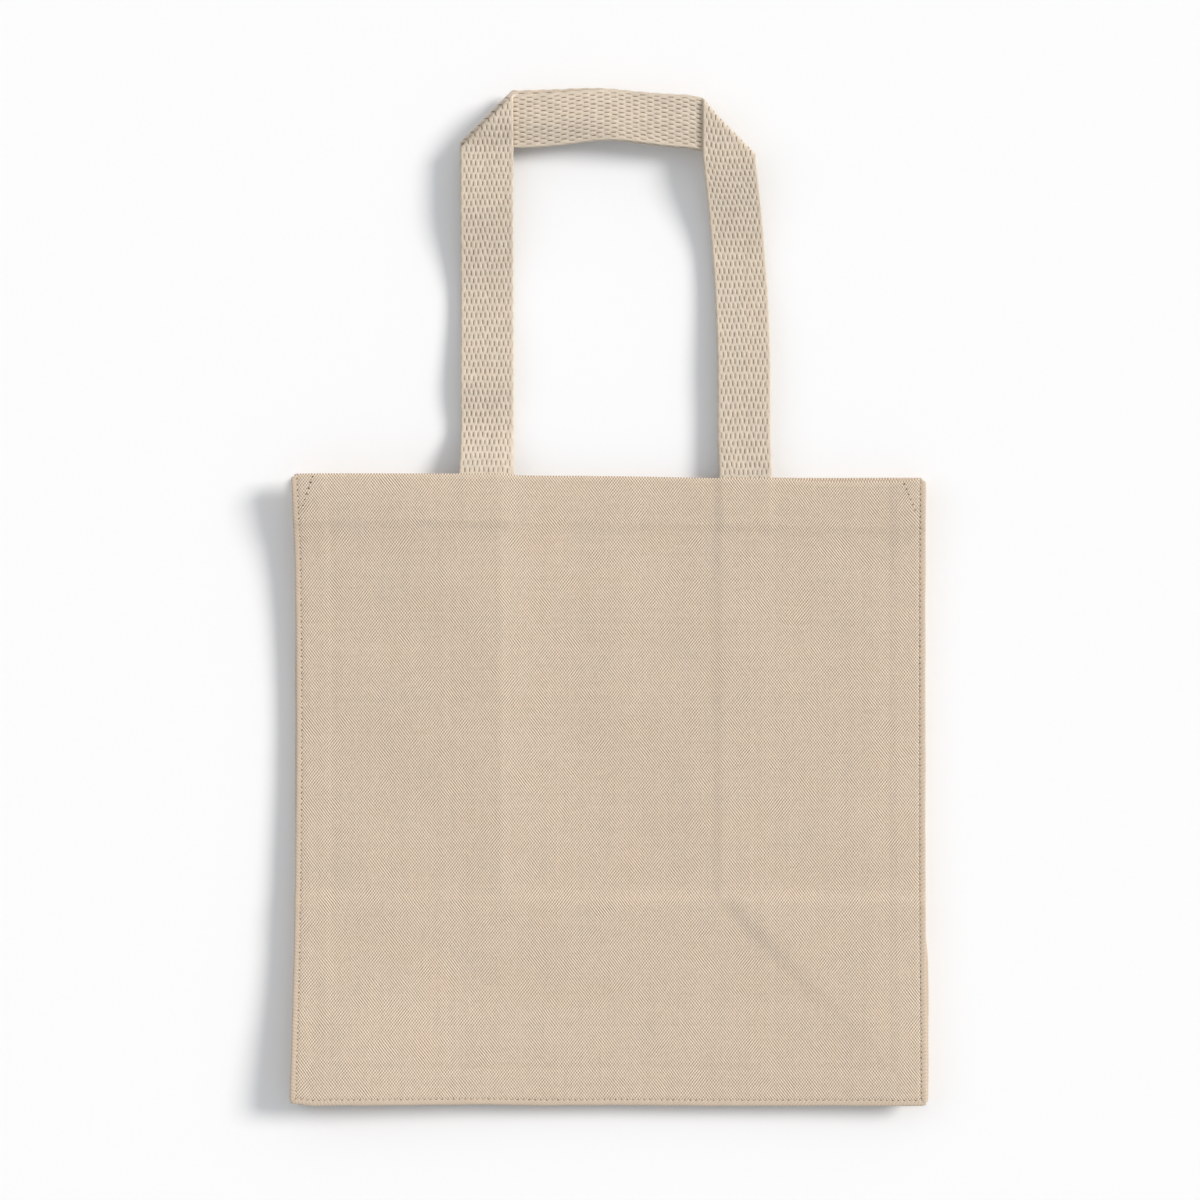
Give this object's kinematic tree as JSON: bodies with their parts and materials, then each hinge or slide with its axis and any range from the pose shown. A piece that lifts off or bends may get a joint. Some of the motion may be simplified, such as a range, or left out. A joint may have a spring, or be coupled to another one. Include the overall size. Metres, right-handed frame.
{
  "type": "canvas tote bag",
  "caption": "Square natural canvas grocery tote with a deep folding side and base gusset and webbing loop handles, lying folded flat.",
  "frame": {"origin": "bottom centre of the whole box of the bag with its handles, on the surface that the folded bag lies on", "axes": "+X across the bag to the right as seen from the front, +Y from the base to the mouth and handles, +Z out of the front panel"},
  "size_m": [0.305, 0.4888, 0.0129],
  "materials": {
    "canvas": "plain-woven unbleached cotton canvas, matt, with a few dark and pale flecks",
    "webbing": "coarse woven cotton webbing, matt",
    "thread": "spun sewing thread, matt"
  },
  "bodies": {
    "back": {"back_panel": "canvas", "back_hem": "canvas", "back_left_seam": "canvas", "back_right_seam": "canvas", "back_base_seam": "canvas", "back_seam_stitching": "thread", "back_hem_stitching": "thread", "back_corner_stitching": "thread", "back_strap_end_left": "webbing", "back_strap_end_right": "webbing"},
    "front": {"front_panel": "canvas", "front_hem": "canvas", "front_left_seam": "canvas", "front_right_seam": "canvas", "front_base_seam": "canvas", "front_seam_stitching": "thread", "front_hem_stitching": "thread", "front_corner_stitching": "thread", "front_strap_end_left": "webbing", "front_strap_end_right": "webbing"},
    "back_handle": {"back_handle": "webbing"},
    "front_handle": {"front_handle": "webbing"},
    "left_gusset_back": {"left_gusset_back": "canvas", "left_gusset_hem_back": "canvas"},
    "left_tuck_back": {"left_tuck_back": "canvas"},
    "left_gusset_front": {"left_gusset_front": "canvas", "left_gusset_hem_front": "canvas"},
    "left_tuck_front": {"left_tuck_front": "canvas"},
    "right_gusset_back": {"right_gusset_back": "canvas", "right_gusset_hem_back": "canvas"},
    "right_tuck_back": {"right_tuck_back": "canvas"},
    "right_gusset_front": {"right_gusset_front": "canvas", "right_gusset_hem_front": "canvas"},
    "right_tuck_front": {"right_tuck_front": "canvas"},
    "base_gusset_back": {"base_gusset_back": "canvas"},
    "base_gusset_front": {"base_gusset_front": "canvas"}
  },
  "joints": [
    {"name": "bag_opening", "type": "hinge", "parent": "back", "child": "left_gusset_back", "pos_m": [-0.1489, 0, 0.00395], "axis": [0, -1, 0], "range_deg": [0, 90]},
    {"name": "left_crease", "type": "hinge", "parent": "left_gusset_back", "child": "left_gusset_front", "pos_m": [-0.0489, 0, 0.00645], "axis": [0, 1, 0], "range_deg": [0, 180]},
    {"name": "left_front_seam", "type": "hinge", "parent": "left_gusset_front", "child": "front", "pos_m": [-0.1489, 0, 0.00895], "axis": [0, -1, 0], "range_deg": [0, 90]},
    {"name": "right_back_seam", "type": "hinge", "parent": "back", "child": "right_gusset_back", "pos_m": [0.1489, 0, 0.00395], "axis": [0, 1, 0], "range_deg": [0, 90]},
    {"name": "right_crease", "type": "hinge", "parent": "right_gusset_back", "child": "right_gusset_front", "pos_m": [0.0489, 0, 0.00645], "axis": [0, -1, 0], "range_deg": [0, 180]},
    {"name": "base_back_seam", "type": "hinge", "parent": "back", "child": "base_gusset_back", "pos_m": [0, -0.24077, 0.00395], "axis": [1, 0, 0], "range_deg": [0, 90]},
    {"name": "base_crease", "type": "hinge", "parent": "base_gusset_back", "child": "base_gusset_front", "pos_m": [0, -0.14078, 0.00645], "axis": [-1, 0, 0], "range_deg": [0, 180]},
    {"name": "left_tuck_back_fold", "type": "hinge", "parent": "left_gusset_back", "child": "left_tuck_back", "pos_m": [-0.1489, -0.24077, 0.00445], "axis": [0.7071, 0.7071, 0], "range_deg": [0, 180], "deforming": ["left_tuck_back"]},
    {"name": "left_tuck_front_fold", "type": "hinge", "parent": "left_gusset_front", "child": "left_tuck_front", "pos_m": [-0.1489, -0.24077, 0.00845], "axis": [-0.7071, -0.7071, 0], "range_deg": [0, 180], "deforming": ["left_tuck_front"]},
    {"name": "right_tuck_back_fold", "type": "hinge", "parent": "right_gusset_back", "child": "right_tuck_back", "pos_m": [0.1489, -0.24077, 0.00445], "axis": [0.7071, -0.7071, 0], "range_deg": [0, 180], "deforming": ["right_tuck_back"]},
    {"name": "right_tuck_front_fold", "type": "hinge", "parent": "right_gusset_front", "child": "right_tuck_front", "pos_m": [0.1489, -0.24077, 0.00845], "axis": [-0.7071, 0.7071, 0], "range_deg": [0, 180], "deforming": ["right_tuck_front"]},
    {"name": "front_handle_swing", "type": "hinge", "parent": "front", "child": "front_handle", "pos_m": [0, 0.06062, 0.0129], "axis": [1, 0, 0], "range_deg": [0, 176]},
    {"name": "back_handle_swing", "type": "hinge", "parent": "back", "child": "back_handle", "pos_m": [0, 0.06062, 0], "axis": [1, 0, 0], "range_deg": [-176, 0]}
  ],
  "couplings": [
    {"joint": "left_crease", "follows": "bag_opening", "ratio": 2},
    {"joint": "left_front_seam", "follows": "bag_opening", "ratio": 1},
    {"joint": "right_back_seam", "follows": "bag_opening", "ratio": 1},
    {"joint": "right_crease", "follows": "bag_opening", "ratio": 2},
    {"joint": "base_back_seam", "follows": "bag_opening", "ratio": 1},
    {"joint": "base_crease", "follows": "bag_opening", "ratio": 2},
    {"joint": "left_tuck_back_fold", "follows": "bag_opening", "ratio": 2},
    {"joint": "left_tuck_front_fold", "follows": "bag_opening", "ratio": 2},
    {"joint": "right_tuck_back_fold", "follows": "bag_opening", "ratio": 2},
    {"joint": "right_tuck_front_fold", "follows": "bag_opening", "ratio": 2}
  ]
}
